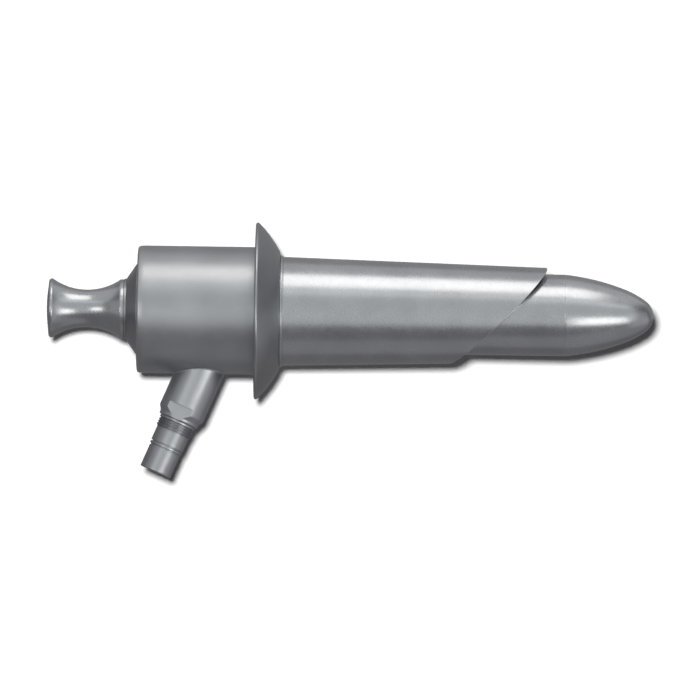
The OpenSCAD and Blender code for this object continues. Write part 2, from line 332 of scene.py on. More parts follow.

# %% [markdown]
# The tube and the obturator are smoothed so that they slide in easily, and like the knob they keep a crisp
# highlight. The head, the post and its adapters are satin. The shield, the cone and the grip came off the
# lathe with deeper rings, and darker tints paint the shade on them.

# %% The finishes
STEEL = (0.545, 0.575, 0.59)
SATIN_STEEL = (0.51, 0.54, 0.555)
# a darker copy of the steel, which paints shade on the shield, the cone, the rod and the neck ring
DARK_SHADE_TINT = (0.42, 0.44, 0.455)
# a darker copy of the steel, which paints the shade in the grip's grooves
GRIP_SHADE_TINT = (0.28, 0.295, 0.31)
smooth_steel = steel("smooth_steel", STEEL, 0.27, rings=0.1, grain=0.005)
satin_steel = steel("satin_steel", SATIN_STEEL, 0.38, rings=0.25, grain=0.1)
turned_steel = steel("turned_steel", STEEL, 0.33, rings=0.5, grain=0.1)
# painted shade: the same steel in a darker tint
dark_steel = steel("dark_steel", DARK_SHADE_TINT, 0.36, rings=0.5, grain=0.1)
ON_POST = {"origin": crossing, "way": post_way}
post_steel = steel("post_steel", SATIN_STEEL, 0.42, rings=0.2, grain=0.04, **ON_POST)
ring_steel = steel("ring_steel", SATIN_STEEL, 0.34, rings=0.2, grain=0.04, **ON_POST)
# painted shade: the grip's steel in a darker tint
grip_painted_shade = steel("grip_painted_shade", GRIP_SHADE_TINT, 0.38, rings=0.5, grain=0.1, **ON_POST)
print("steels:", len(bpy.data.materials))

# %% [markdown]
# The light comes out through thousands of glass fibres, potted and ground flat with the resin between
# them. A Voronoi pattern of small cells is just that: each cell is a fibre's end, and the border between
# cells is resin. The window is plain clear glass, and the sheath a matt black sleeve.

# %% Fibres, window and sheath
def fibre_ends():
    """Pale glass dots in darker resin."""
    material, graph, shader = new_material("fibre_ends")
    inputs = {"Vector": place_in_mm(graph), "Scale": 5.0}
    depth = graph.node("ShaderNodeTexVoronoi", {"feature": "DISTANCE_TO_EDGE"}, inputs)
    glass = graph.smooth(depth, 0.05, 0.14)
    tint = graph.mix(glass, colour(0.16, 0.13, 0.08), colour(0.82, 0.86, 0.76))
    graph.feed(shader.inputs["Base Color"], tint)
    graph.feed(shader.inputs["Roughness"], 0.5 - 0.35 * glass)
    return material


def clear_glass():
    """Polished glass with the faintest clouding."""
    material, graph, shader = new_material("clear_glass")
    haze = graph.noise(place_in_mm(graph), 1.5)
    graph.feed(shader.inputs["Roughness"], 0.02 + 0.04 * haze)
    shader.inputs["Base Color"].default_value = colour(0.86, 0.93, 0.95)
    shader.inputs["Transmission Weight"].default_value = 1.0
    shader.inputs["IOR"].default_value = 1.5
    return material


def black_sheath():
    """Matt black plastic with a fine pebbled skin."""
    material, graph, shader = new_material("black_sheath")
    pebbles = graph.noise(place_in_mm(graph), 6.0)
    tint = graph.mix(pebbles, colour(0.018, 0.018, 0.02), colour(0.045, 0.045, 0.05))
    graph.feed(shader.inputs["Base Color"], tint)
    graph.feed(shader.inputs["Roughness"], 0.55 + 0.2 * pebbles)
    return material


fibre_material = fibre_ends()
glass_material = clear_glass()
sheath_material = black_sheath()
for node, material in (("fibre_bundle", fibre_material), ("bundle_sheath", sheath_material)):
    frame["nodes"][node].data.materials[0] = material
print("materials:", len(bpy.data.materials))

# %% [markdown]
# No machined edge is perfectly sharp, and the thin line of light along an edge is what makes metal look
# real. Each outline is a list of corners, and a corner with a third number is rounded by that radius.
# Smooth shading would bend the light on the long straight faces beside such an arc, so a support point
# just outside each end of the arc keeps the bend where it belongs.

# %% Outlines with rounded corners
ARC_STEPS = 5
SUPPORT = 0.05  # distance of the support points from an arc, in mm

# rounds of edges in mm, from those that close a seam to those that fingers meet
HAIR, SEAM, FINE, NEAT, SMALL = 0.03, 0.04, 0.05, 0.06, 0.08
SOFT, EASY, FULL = 0.1, 0.12, 0.25


def rounded_corner(before, corner, after, radius):
    """The arc that rounds a corner, with a support point at each end."""
    middle = Vector(corner)
    back = (Vector(before) - middle).normalized()
    on = (Vector(after) - middle).normalized()
    half = back.angle(on) / 2
    reach = radius / math.tan(half)
    centre = middle + (back + on).normalized() * radius / math.sin(half)
    start = middle + back * reach - centre
    end = middle + on * reach - centre
    turn_angle = math.atan2(start.x * end.y - start.y * end.x, start.dot(end))
    points = [middle + back * (reach + SUPPORT)]
    for step in range(ARC_STEPS + 1):
        points.append(centre + Matrix.Rotation(turn_angle * step / ARC_STEPS, 2) @ start)
    points.append(middle + on * (reach + SUPPORT))
    return points


def outline(*corners):
    """An outline as points. A corner is (radius, station) or (radius, station, round)."""
    points = []
    for index, corner in enumerate(corners):
        before = corners[index - 1]
        after = corners[(index + 1) % len(corners)]
        if len(corner) == 3:
            points += rounded_corner(before[:2], corner[:2], after[:2], corner[2])
        else:
            points.append(Vector(corner))
    return points


def arc(radius, station, curve, start, end, steps):
    """Corners along a circle around (radius, station), between two angles in degrees from outward."""
    angles = [math.radians(start + (end - start) * step / steps) for step in range(steps + 1)]
    return [(radius + curve * math.cos(a), station + curve * math.sin(a)) for a in angles]


print("points of a rounded corner:", len(rounded_corner((0, 0), (0, 1), (1, 1), SOFT)))

# %% [markdown]
# A lathe makes every piece by sweeping its outline around the axis. A Screw or Spin would do that in
# Blender, but a few lines of code allow more: the outline may change with the angle, which is what a
# bevelled mouth or a screw thread needs.

# %% Skins, pieces and the lathe
TURN_STEPS = 192
FINE_STEPS = 96  # round the thin pieces
SHARP = math.radians(38)
WORN_TURN = math.radians(8)  # an edge that turns outward by more than this is polished by wear
ON_AXIS = 1e-6


def skin(rings, closed):
    """Joins rings of points with quads, or with triangles where a ring is a single point."""
    points = []
    starts = []
    for ring in rings:
        starts.append(len(points))
        points += ring
    pairs = [(index, index + 1) for index in range(len(rings) - 1)]
    if closed:
        pairs.append((len(rings) - 1, 0))
    faces = []
    for first, second in pairs:
        count = max(len(rings[first]), len(rings[second]))
        for j in range(count):
            k = (j + 1) % count
            corners = [
                starts[first] + j % len(rings[first]), starts[first] + k % len(rings[first]),
                starts[second] + k % len(rings[second]), starts[second] + j % len(rings[second]),
            ]
            faces.append(list(dict.fromkeys(corners)))
    return points, faces


def mark_edges(work):
    """Marks the points of edges that stand out, which wear polishes."""
    layer = work.verts.layers.float.new("edge")
    for vertex in work.verts:
        turns = [edge.calc_face_angle_signed(0) for edge in vertex.link_edges]
        vertex[layer] = float(max(turns) > WORN_TURN)


def gap_to_node(mesh, node):
    """The largest distance in mm between the piece's box and its node's box."""
    corners = [vertex.co for vertex in mesh.vertices]
    low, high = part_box(node)
    gaps = []
    for way in range(3):
        values = [corner[way] for corner in corners]
        gaps += [abs(min(values) - low[way]), abs(max(values) - high[way])]
    return max(gaps) / MM


def make_piece(name, rings, place, material, node, closed=True, replaces=True):
    """Makes a piece from rings of points, and lets it ride on its node's body and stand for the node."""
    points, faces = skin(rings, closed)
    mesh = bpy.data.meshes.new(name)
    mesh.from_pydata([place @ (Vector(point) * MM) for point in points], [], faces)
    work = bmesh.new()
    work.from_mesh(mesh)
    bmesh.ops.recalc_face_normals(work, faces=work.faces)
    mark_edges(work)
    work.to_mesh(mesh)
    work.free()
    mesh.shade_smooth()
    mesh.set_sharp_from_angle(angle=SHARP)
    mesh.materials.append(material)
    made = add_object(name, mesh)
    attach(made, frame["nodes"][node]["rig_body"])
    if replaces:
        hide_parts(node)
        print(name, "has", len(faces), "faces; its box is", round(gap_to_node(mesh, node), 3), "mm off")
    return made


def turn(name, shape, place, material, node, axis="X", steps=TURN_STEPS, threads=()):
    """Turns an outline about an axis. The shape is an outline, or a function of the angle."""
    angles = [2 * math.pi * step / steps for step in range(steps)]
    shapes = [shape(angle) if callable(shape) else shape for angle in angles]
    rings = []
    for index in range(len(shapes[0])):
        ring = []
        for angle, points in zip(angles, shapes):
            radius, station = points[index]
            for thread in threads:
                radius = thread(radius, station, angle)
            across = (radius * math.cos(angle), radius * math.sin(angle))
            ring.append((station, *across) if axis == "X" else (*across, station))
        on_axis = abs(shapes[0][index][0]) < ON_AXIS
        rings.append(ring[:1] if on_axis else ring)
    return make_piece(name, rings, place, material, node, closed=len(rings[0]) > 1)


print("the lathe turns in steps of", round(360 / TURN_STEPS, 2), "degrees")

# %% [markdown]
# The tube is thin steel, drawn with a slight taper and cut off at a slant, so that one side reaches
# further than the other. Its lips are rounded so that they glide. A boolean cut would leave ragged faces
# where a round lip should be. So the end of the outline is worked out anew at every angle: the station
# where the slanted plane meets the wall there.

# %% The bevelled tube
ROOT_R, TIP_R, TUBE_LENGTH = 13.62, 11.84, 66
BORE_ROOT_R, BORE_TIP_R = 12.4, 10.84
SPIGOT_R, SPIGOT_END = 13.1, -9.45
BEVEL_SLOPE = math.tan(math.radians(45))
BEVEL_CLOCK = math.radians(15)
INNER_LIP = 0.1
SHARP_LIP, BLUNT_LIP = 0.1, 0.3  # rounds of the outer lip where the cut leaves it sharp and blunt


def mouth_point(root_radius, tip_radius, facing):
    """Where a wall that narrows from root to tip meets the slanted plane."""
    narrowing = (root_radius - tip_radius) / TUBE_LENGTH
    reach = TUBE_LENGTH + BEVEL_SLOPE * (root_radius * facing - TIP_R)
    station = reach / (1 + BEVEL_SLOPE * narrowing * facing)
    return root_radius - narrowing * station, station


def tube_outline(angle):
    """The wall's outline at one angle around the tube."""
    facing = math.cos(angle - BEVEL_CLOCK)
    outer = mouth_point(ROOT_R, TIP_R, facing)
    inner = mouth_point(BORE_ROOT_R, BORE_TIP_R, facing)
    outer_lip = BLUNT_LIP + (SHARP_LIP - BLUNT_LIP) * (1 + facing) / 2
    return outline(
        (BORE_ROOT_R, SPIGOT_END, SOFT), (SPIGOT_R, SPIGOT_END, SOFT), (SPIGOT_R, 0), (ROOT_R, 0, SMALL),
        (*outer, outer_lip), (*inner, INNER_LIP), (BORE_ROOT_R, 0),
    )


turn("bevelled_tube", tube_outline, TUBE, smooth_steel, "speculum_tube", steps=256)

# %% [markdown]
# A small bead hides the seam between the tube and the shield. The shield itself is a flange with a flat
# back and a swelling front. The front is one arc of a large circle, which starts at the rim's own small
# round, so the outline is two arcs and a few straight lines.

# %% The collar and the shield
SHIELD_BACK = -7.05
SHIELD_R, SHIELD_CENTRE_R, SHIELD_CENTRE_S = 29.0, 1.35, -26.58
RIM_ROUND = 0.5
HUB_R, COLLAR_SEAT_R, COLLAR_BACK = 14.95, 14.65, -0.85
COLLAR_R, COLLAR_LIP, BEAD_FRONT, LIP_BACK = 14.0, 0.12, -0.25, -0.22
BEAD_BACK_ROUND, BEAD_FRONT_ROUND = 0.3, 0.2

collar_outline = outline(
    (SPIGOT_R, COLLAR_BACK, FINE), (COLLAR_R, COLLAR_BACK, BEAD_BACK_ROUND),
    (COLLAR_R, BEAD_FRONT, BEAD_FRONT_ROUND), (ROOT_R + COLLAR_LIP, LIP_BACK, NEAT),
    (ROOT_R + COLLAR_LIP, 0, NEAT), (SPIGOT_R, 0),
)
turn("collar_bead", collar_outline, TUBE, turned_steel, "root_collar")

rim_s = SHIELD_BACK + RIM_ROUND
rim_tilt = math.degrees(math.asin((rim_s - SHIELD_CENTRE_S) / (SHIELD_R - RIM_ROUND)))
rim_r = SHIELD_CENTRE_R + (SHIELD_R - RIM_ROUND) * math.cos(math.radians(rim_tilt))
hub_tilt = math.degrees(math.acos((HUB_R - SHIELD_CENTRE_R) / SHIELD_R))
shield_corners = [
    (SPIGOT_R, SPIGOT_END), (HUB_R, SPIGOT_END, SOFT), (HUB_R, SHIELD_BACK),
    (rim_r - 2 * SUPPORT, SHIELD_BACK), *arc(rim_r, rim_s, RIM_ROUND, -90, rim_tilt, steps=8),
    *arc(SHIELD_CENTRE_R, SHIELD_CENTRE_S, SHIELD_R, rim_tilt, hub_tilt, steps=40)[1:],
    (COLLAR_SEAT_R, COLLAR_BACK), (SPIGOT_R, COLLAR_BACK),
]
# the shield's darker tint paints the shade of its front, which turns away from the lights
turn("shield_flange", outline(*shield_corners), TUBE, dark_steel, "conical_shield")

# %% [markdown]
# The head is a plain tube with a soft rear edge, closed by a bush that guides the obturator. Inside, a
# thin liner keeps the fibres off the bore, and the fibres end in a ring around it, just behind the
# tube's root. They are hidden until the obturator is drawn out.

# %% The head, its bush, the liner and the ring of fibres
HEAD_R, HEAD_BORE_R, HEAD_REAR = 15.95, 14.95, -36.35
HEAD_ROUND, REAR_FALL = 0.7, 0.1
ROLL_R, ROLL_SLOPE = 9, 8  # the head rolls off softly before its rear edge
BORE_R, BUSH_HUB_R, BUSH_FRONT, REAR_WALL = 10.25, 13.2, -30.35, 2.2
LINER_R = 10.95
FIBRE_BACK, FIBRE_FRONT = -4, -0.3

roll_drop = ROLL_R * (1 - math.cos(math.radians(ROLL_SLOPE)))
roll_s = HEAD_REAR + HEAD_ROUND + SUPPORT + ROLL_R * math.sin(math.radians(ROLL_SLOPE))
head_outline = outline(
    (HEAD_BORE_R, HEAD_REAR, SEAM), (HEAD_R - roll_drop - REAR_FALL, HEAD_REAR, HEAD_ROUND),
    *arc(HEAD_R - ROLL_R, roll_s, ROLL_R, -ROLL_SLOPE, 0, steps=12),
    (HEAD_R, SHIELD_BACK, FINE), (HEAD_BORE_R, SHIELD_BACK, FINE),
)
turn("head_tube", head_outline, TUBE, satin_steel, "head_shell")
wall_front = HEAD_REAR + REAR_WALL
bush_outline = outline(
    (BORE_R, HEAD_REAR, FULL), (HEAD_BORE_R, HEAD_REAR, SEAM), (HEAD_BORE_R, wall_front, SOFT),
    (BUSH_HUB_R, wall_front), (BUSH_HUB_R, BUSH_FRONT, SOFT), (BORE_R, BUSH_FRONT, SOFT),
)
turn("guide_bush", bush_outline, TUBE, turned_steel, "seat_ring")
liner_outline = outline(
    (BORE_R, BUSH_FRONT, FINE), (LINER_R, BUSH_FRONT, FINE), (LINER_R, 0, FULL), (BORE_R, 0, FULL),
)
turn("bore_liner", liner_outline, TUBE, smooth_steel, "inner_sleeve")
fibre_outline = outline(
    (LINER_R, FIBRE_BACK), (BORE_ROOT_R, FIBRE_BACK), (BORE_ROOT_R, FIBRE_FRONT, FINE),
    (LINER_R, FIBRE_FRONT, FINE),
)
turn("fibre_ring", fibre_outline, TUBE, fibre_material, "light_ring")

# %% [markdown]
# A screw thread is a groove that climbs one pitch in each turn. The lathe function can make it, because
# its outline may change with the angle: the groove's depth depends on the station less the share of the
# pitch that the angle has climbed. The groove fades out at both ends, as a real one runs out.

# %% Threads
ROWS_PER_PITCH = 10
GROOVE_FLANK = 1.25  # above 1, the groove has steep flanks and a flat bottom
SAME_RADIUS = 0.001  # tells the thread's own corners from the others


def thread_cut(depth, pitch, start, end, outside):
    """A function that cuts a helical groove between two stations, on radii near the outside."""

    def cut(radius, station, angle):
        if abs(radius - outside) > SAME_RADIUS or not start <= station <= end:
            return radius
        phase = (station / pitch - angle / (2 * math.pi)) % 1
        groove = 1 - abs(2 * phase - 1)
        fade = min(1, (station - start) / pitch, (end - station) / pitch)
        return radius - depth * min(1, GROOVE_FLANK * groove) * max(fade, 0)

    return cut


def thread_rows(radius, start, end, pitch):
    """Plain corners, closely spaced, for a thread to be cut into."""
    count = math.ceil((end - start) / pitch * ROWS_PER_PITCH)
    return [(radius, start + (end - start) * row / count) for row in range(count + 1)]


print("rows in two turns of thread:", len(thread_rows(radius=1, start=0, end=2, pitch=1)))

# %% [markdown]
# The light post stands on the side of the head. Its foot is hollowed to the head's curve, two flats give a
# spanner its hold, and its end is chamfered and threaded. Flats across a round bar make the section
# change along the bar, so each ring of points is shared out between flat and round: the corner between
# them then always falls on a point, also down the chamfer, where the flats narrow to a curve.

# %% The sections of the light post
POST_R, POST_BORE_R = 5.87, 2.6
FLAT_H, FLAT_FROM = 4.92, 26.5
FLAT_FACING = math.radians(96)
CHAMFER_FROM, CHAMFER_TO = 28.1, 29.4
POST_RIM_R, POST_RIM_TO, POST_END, POST_END_R = 5.12, 30.1, 30.3, 4.75
THREAD_R, THREAD_DEPTH, THREAD_PITCH, THREAD_END = 3.4, 0.3, 0.75, 33
THREAD_LEAD = 0.1  # the chamfer at either end of a thread

# where a ring's points stand, as shares of half the flat and of half the round between the flats
FLAT_SHARES = (-1, -0.97, -0.85, -0.65, -0.4, -0.15, 0.15, 0.4, 0.65, 0.85, 0.97)
ROUND_SHARES = [-1, -0.985] + [step / 12 for step in range(-11, 12)] + [0.985]
LEAST_FLAT = math.radians(9)  # what half a flat keeps of a ring that has none


def post_ring(radius, along, flat=None, thread=None):
    """One ring of the post. The station may be a function of the point, for the hollowed foot."""
    half = max(math.acos(min(1, FLAT_H / radius)), LEAST_FLAT)
    ring = []
    for side in (0, math.pi):
        angles = [side + share * half for share in FLAT_SHARES]
        angles += [side + math.pi / 2 + share * (math.pi / 2 - half) for share in ROUND_SHARES]
        for angle in angles:
            reach = min(radius, flat / abs(math.cos(angle))) if flat else radius
            if thread:
                reach = thread(radius, along, angle)
            x = reach * math.cos(angle + FLAT_FACING)
            y = reach * math.sin(angle + FLAT_FACING)
            ring.append((x, y, along(x, y) if callable(along) else along))
    return ring


def on_head(radius):
    """Gives the distance along the post at which a point lies on a cylinder about the tube's axis."""

    def distance(x, y):
        across = math.sqrt(radius * radius - y * y)
        return (across - x * math.cos(POST_ANGLE)) / math.sin(POST_ANGLE)

    return distance


print("points in a ring of the post:", len(post_ring(POST_R, FLAT_FROM)))

# %% [markdown]
# The post is then a stack of such rings. Where the flats are cut and where the chamfer starts, a few rings
# stand close together, so that the light turns over a tenth of a millimetre, as on a filed edge.

# %% The light post
# the step down to the flats, as (station from the step, height of the flat)
FLAT_STEP = (
    (-0.3, None), (-0.06, None), (-0.01, POST_R - 0.02), (0, POST_R - 0.08), (0.01, FLAT_H + 0.04),
    (0.05, FLAT_H), (0.15, FLAT_H),
)
# the soft start of the chamfer, as (station from its edge, depth below the post's side)
CHAMFER_START = ((-0.1, 0), (-0.04, 0), (0.04, 0.02), (0.1, 0.055))
CHAMFER_ROWS = 6
FOOT_SINK = 0.1  # how far the foot reaches into the head
END_DROP = 0.02

foot = on_head(HEAD_R - FOOT_SINK)
post_thread = thread_cut(THREAD_DEPTH, THREAD_PITCH, POST_END, THREAD_END, THREAD_R)
post_rings = [post_ring(POST_BORE_R, foot), post_ring(POST_R, foot)]
post_rings += [post_ring(POST_R, FLAT_FROM + along, height) for along, height in FLAT_STEP]
post_rings += [post_ring(POST_R - depth, CHAMFER_FROM + along, FLAT_H) for along, depth in CHAMFER_START]
for row in range(1, CHAMFER_ROWS + 1):
    share = row / CHAMFER_ROWS
    radius = POST_R + (POST_RIM_R - POST_R) * share
    post_rings.append(post_ring(radius, CHAMFER_FROM + (CHAMFER_TO - CHAMFER_FROM) * share, FLAT_H))
post_rings += [
    post_ring(POST_RIM_R, CHAMFER_TO + NEAT, FLAT_H), post_ring(POST_RIM_R, POST_RIM_TO - NEAT, FLAT_H),
    post_ring(POST_RIM_R - END_DROP, POST_RIM_TO, FLAT_H),
    post_ring(POST_END_R + SOFT, POST_END - END_DROP), post_ring(POST_END_R, POST_END),
    post_ring(THREAD_R + 2 * THREAD_LEAD, POST_END),
]
for radius, station in thread_rows(THREAD_R, POST_END, THREAD_END - THREAD_LEAD, THREAD_PITCH):
    post_rings.append(post_ring(radius, station, thread=post_thread))
post_rings += [post_ring(THREAD_R - THREAD_LEAD, THREAD_END), post_ring(POST_BORE_R, THREAD_END)]
make_piece("light_post_stem", post_rings, POST, post_steel, "light_post")

# %% [markdown]
# The post is brazed on, and a fine hollow seam of silver runs around its foot. It is a ring whose section
# leans on two surfaces, the post's and the head's. At each angle the joint is found first, and then a
# small curve is drawn from a point up the post to a point out along the head.

# %% The brazed seam at the post's foot
SEAM_SIZE = 0.45
SEAM_PROUD, SEAM_ROOT = 0.01, 0.2  # above the surfaces that it joins, and below them
SEAM_CURVE = (0, 0.25, 0.5, 0.75, 1)


def seam_points(angle):
    """The seam's section at one angle: its hollow face, and one point buried in the joint."""
    around = Vector((math.cos(angle), math.sin(angle), 0))
    joint = Vector((POST_R * around.x, POST_R * around.y, 0))
    joint.z = on_head(HEAD_R)(joint.x, joint.y)
    lift = joint.x * math.cos(POST_ANGLE) + joint.z * math.sin(POST_ANGLE)
    head_way = Vector((lift * math.cos(POST_ANGLE), joint.y, lift * math.sin(POST_ANGLE))) / HEAD_R
    out = (around - around.dot(head_way) * head_way).normalized()
    top = joint + Vector((0, 0, SEAM_SIZE))
    end = joint + out * SEAM_SIZE
    curve = [top * (1 - t) ** 2 + joint * 2 * t * (1 - t) + end * t ** 2 for t in SEAM_CURVE]
    away = around + head_way
    return [point + SEAM_PROUD * away for point in curve] + [joint - SEAM_ROOT * away]


sections = [seam_points(2 * math.pi * step / TURN_STEPS) for step in range(TURN_STEPS)]
seam_rings = [[tuple(section[index]) for section in sections] for index in range(len(SEAM_CURVE) + 1)]
make_piece("post_seam", seam_rings, POST, post_steel, "light_post", replaces=False)

# %% [markdown]
# Light cables end in many kinds of socket, so the post carries two adapters that screw onto each other.
# Under each lies a thin bright washer. The washers differ only in size, so one function turns both.

# %% The two washers
CLEARANCE = 0.05
HOLE_R = THREAD_R + CLEARANCE
WASHER_R, WASHER_FROM, WASHER_TO = 4.62, 30.33, 30.95
SPACER_R, SPACER_FROM, SPACER_TO = 4.22, 37.33, 37.95


def washer(name, radius, start, end, node):
    """A thin ring with soft edges."""
    corners = ((HOLE_R, start, FINE), (radius, start, EASY), (radius, end, EASY), (HOLE_R, end, FINE))
    turn(name, outline(*corners), POST, ring_steel, node, axis="Z")


washer("post_ring", WASHER_R, WASHER_FROM, WASHER_TO, "post_washer")
washer("spacer_ring", SPACER_R, SPACER_FROM, SPACER_TO, "adapter_washer")

# %% [markdown]
# The inner adapter has a ribbed grip, a plain sleeve and a threaded end for the outer one. Its threads are
# real, because unscrewing lays them bare. A loop draws the ribs, and the outline then runs out over the
# sleeve and back through the bore.

# %% The inner adapter
HOLE_RIDGE = 0.25  # how far the thread stands out of a hole's wall
GRIP_BASE_R, GRIP_R, GRIP_FROM, GRIP_TO, GRIP_RIBS = 4.35, 4.55, 31.25, 33.2, 3
RIB_SHARE = 0.7  # of the ribs' pitch
SLEEVE_GROOVE = 0.1  # between the grip and the sleeve
GRIP_STEP = 0.001  # keeps the groove out of the grip's dark faces
INNER_FROM, SLEEVE_FROM, INNER_R, SLEEVE_TO = 30.98, 33.35, 4.25, 37.05
NECK_R, NECK_TO, INNER_END, ADAPTER_BORE_R = 3.85, 37.3, 40, 2.66
INNER_HOLE_TO = 33.1

rib_pitch = (GRIP_TO - GRIP_FROM) / GRIP_RIBS
ribs = []
for rib in range(GRIP_RIBS):
    start = GRIP_FROM + rib * rib_pitch
    end = start + RIB_SHARE * rib_pitch
    ribs += [(GRIP_BASE_R, start), (GRIP_R, start, SMALL), (GRIP_R, end, SMALL), (GRIP_BASE_R, end)]
groove_r = INNER_R - SLEEVE_GROOVE
groove_to = SLEEVE_FROM + SLEEVE_GROOVE
inner_outline = outline(
    *thread_rows(HOLE_R, INNER_FROM + THREAD_LEAD, INNER_HOLE_TO, THREAD_PITCH)[::-1],
    (HOLE_R + THREAD_LEAD, INNER_FROM), (GRIP_BASE_R, INNER_FROM, NEAT), *ribs,
    (GRIP_BASE_R, SLEEVE_FROM, SEAM), (groove_r, SLEEVE_FROM + GRIP_STEP), (groove_r, groove_to),
    (INNER_R, groove_to, SEAM), (INNER_R, SLEEVE_TO, EASY), (NECK_R, SLEEVE_TO),
    (NECK_R, NECK_TO, SEAM), *thread_rows(THREAD_R, NECK_TO, INNER_END - THREAD_LEAD, THREAD_PITCH),
    (THREAD_R - THREAD_LEAD, INNER_END), (ADAPTER_BORE_R, INNER_END, FINE),
    (ADAPTER_BORE_R, INNER_HOLE_TO),
)
inner_threads = (
    thread_cut(-HOLE_RIDGE, THREAD_PITCH, INNER_FROM, INNER_HOLE_TO, HOLE_R),
    thread_cut(THREAD_DEPTH, THREAD_PITCH, NECK_TO, INNER_END, THREAD_R),
)
grip_piece = turn(
    "grip_adapter", inner_outline, POST, post_steel, "inner_adapter", axis="Z",
    steps=FINE_STEPS, threads=inner_threads,
)

# %% [markdown]
# The outer adapter is the plain sleeve that the cable's socket slips over, and its open end takes the
# cable's tip. The inlet's mouth is chamfered, which leads the tip in.

# %% The outer adapter
OUTER_FROM, OUTER_SLEEVE_FROM, OUTER_R, POST_TIP = 37.98, 38.3, 4.05, 44.2
INLET_R, INLET_FROM, LEAD_IN = 3.0, 40.45, 0.3

outer_outline = outline(
    *thread_rows(HOLE_R, OUTER_FROM + THREAD_LEAD, INLET_FROM, THREAD_PITCH)[::-1],
    (HOLE_R + THREAD_LEAD, OUTER_FROM), (NECK_R, OUTER_FROM, SEAM), (NECK_R, OUTER_SLEEVE_FROM),
    (OUTER_R, OUTER_SLEEVE_FROM, SOFT), (OUTER_R, POST_TIP, FULL), (INLET_R + LEAD_IN, POST_TIP, SEAM),
    (INLET_R, POST_TIP - LEAD_IN, SEAM), (INLET_R, INLET_FROM),
)
outer_threads = (thread_cut(-HOLE_RIDGE, THREAD_PITCH, OUTER_FROM, INLET_FROM, HOLE_R),)
turn(
    "cable_adapter", outer_outline, POST, post_steel, "outer_adapter", axis="Z",
    steps=FINE_STEPS, threads=outer_threads,
)

# %% [markdown]
# Inside the adapters a steel ferrule carries the fibres, and a little window closes it. Both can be seen
# down the inlet. The grip is darker than the sleeve it belongs to: its tint paints the shade that falls in
# its grooves, so its faces get two finishes by their place along the post.

# %% The ferrule, the window and the grip's painted shade
FERRULE_FROM, FERRULE_TO, FERRULE_BORE_R, WINDOW_FROM = 31, 39.8, 2, 39

ferrule_outline = outline(
    (FERRULE_BORE_R, FERRULE_FROM, SEAM), (POST_BORE_R, FERRULE_FROM, SEAM),
    (POST_BORE_R, FERRULE_TO, SOFT), (FERRULE_BORE_R, FERRULE_TO, SEAM),
)
turn(
    "fibre_ferrule", ferrule_outline, POST, ring_steel, "post_ferrule",
    axis="Z", steps=FINE_STEPS,
)
window_outline = outline(
    (0, WINDOW_FROM), (FERRULE_BORE_R, WINDOW_FROM, HAIR), (FERRULE_BORE_R, FERRULE_TO, NEAT),
    (0, FERRULE_TO),
)
turn(
    "inlet_window", window_outline, POST, glass_material, "light_window",
    axis="Z", steps=FINE_STEPS,
)

# the grip's faces take the darker tint that paints the shade of its grooves
grip_piece.data.materials.append(grip_painted_shade)
for face in grip_piece.data.polygons:
    along = (face.center - crossing).dot(post_way) / MM
    face.material_index = int(along < SLEEVE_FROM)
print("dark faces of the grip:", sum(face.material_index for face in grip_piece.data.polygons))

# %% [markdown]
# The obturator fills the tube while it is pushed in, and its nose opens the way. The nose is three arcs
# that run on smoothly: a long one that leaves the barrel at a slight angle, a rounder shoulder, and the
# tip. A sudden step from a large radius to a small one would show as a crease in the highlights. Barrel
# and nose are two pieces with a fine seam, held together by a rod.

# %% The obturator's barrel, nose and plug
BARREL_R, BARREL_BORE_R, NOSE_S = 10.2, 9.3, 70.25
BARREL_REAR = -36.4
NOSE_CURVE_R, SHOULDER_R = 57, 22.5
NOSE_BREAK, SHOULDER_SLOPE, TIP_SLOPE = 5.2, 21, 36  # slopes in degrees where the three arcs begin
ROD_R, ROD_FRONT, ROD_REAR = 2.5, 76, -47.6
SPIGOT_LENGTH, SPIGOT_ROUND = 6, 0.2  # of the nose and the plug, in the barrel's ends
JOINT_ROUND, JOINT_SLOPE = 0.02, 0.04  # the seam of nose and barrel, in mm and in degrees of the nose's arc


def centre_back(station, height, distance, slope):
    """The point that lies a distance inward from another, square to the outline's slope there."""
    tilt = math.radians(slope)
    return station - distance * math.sin(tilt), height - distance * math.cos(tilt)


curve_s, curve_r = centre_back(NOSE_S, BARREL_R, NOSE_CURVE_R, NOSE_BREAK)
shoulder_s, shoulder_r = centre_back(curve_s, curve_r, SHOULDER_R - NOSE_CURVE_R, SHOULDER_SLOPE)
tip_r = SHOULDER_R + shoulder_r / math.cos(math.radians(TIP_SLOPE))
tip_s, _ = centre_back(shoulder_s, shoulder_r, tip_r - SHOULDER_R, TIP_SLOPE)
nose_outline = outline(
    (0, ROD_FRONT), (ROD_R, ROD_FRONT), (ROD_R, NOSE_S - SPIGOT_LENGTH),
    (BARREL_BORE_R, NOSE_S - SPIGOT_LENGTH, SPIGOT_ROUND), (BARREL_BORE_R, NOSE_S),
    (BARREL_R - JOINT_ROUND, NOSE_S),
    *arc(curve_r, curve_s, NOSE_CURVE_R, NOSE_BREAK + JOINT_SLOPE, SHOULDER_SLOPE, steps=40),
    *arc(shoulder_r, shoulder_s, SHOULDER_R, SHOULDER_SLOPE, TIP_SLOPE, steps=20)[1:],
    *arc(0, tip_s, tip_r, TIP_SLOPE, 90, steps=24)[1:],
)
turn("rounded_nose", nose_outline, TUBE, smooth_steel, "obturator_nose")
barrel_outline = outline(
    (BARREL_BORE_R, BARREL_REAR), (BARREL_R, BARREL_REAR, SOFT), (BARREL_R, NOSE_S, JOINT_ROUND),
    (BARREL_BORE_R, NOSE_S),
)
turn("filling_barrel", barrel_outline, TUBE, smooth_steel, "obturator_barrel")
plug_front = BARREL_REAR + SPIGOT_LENGTH
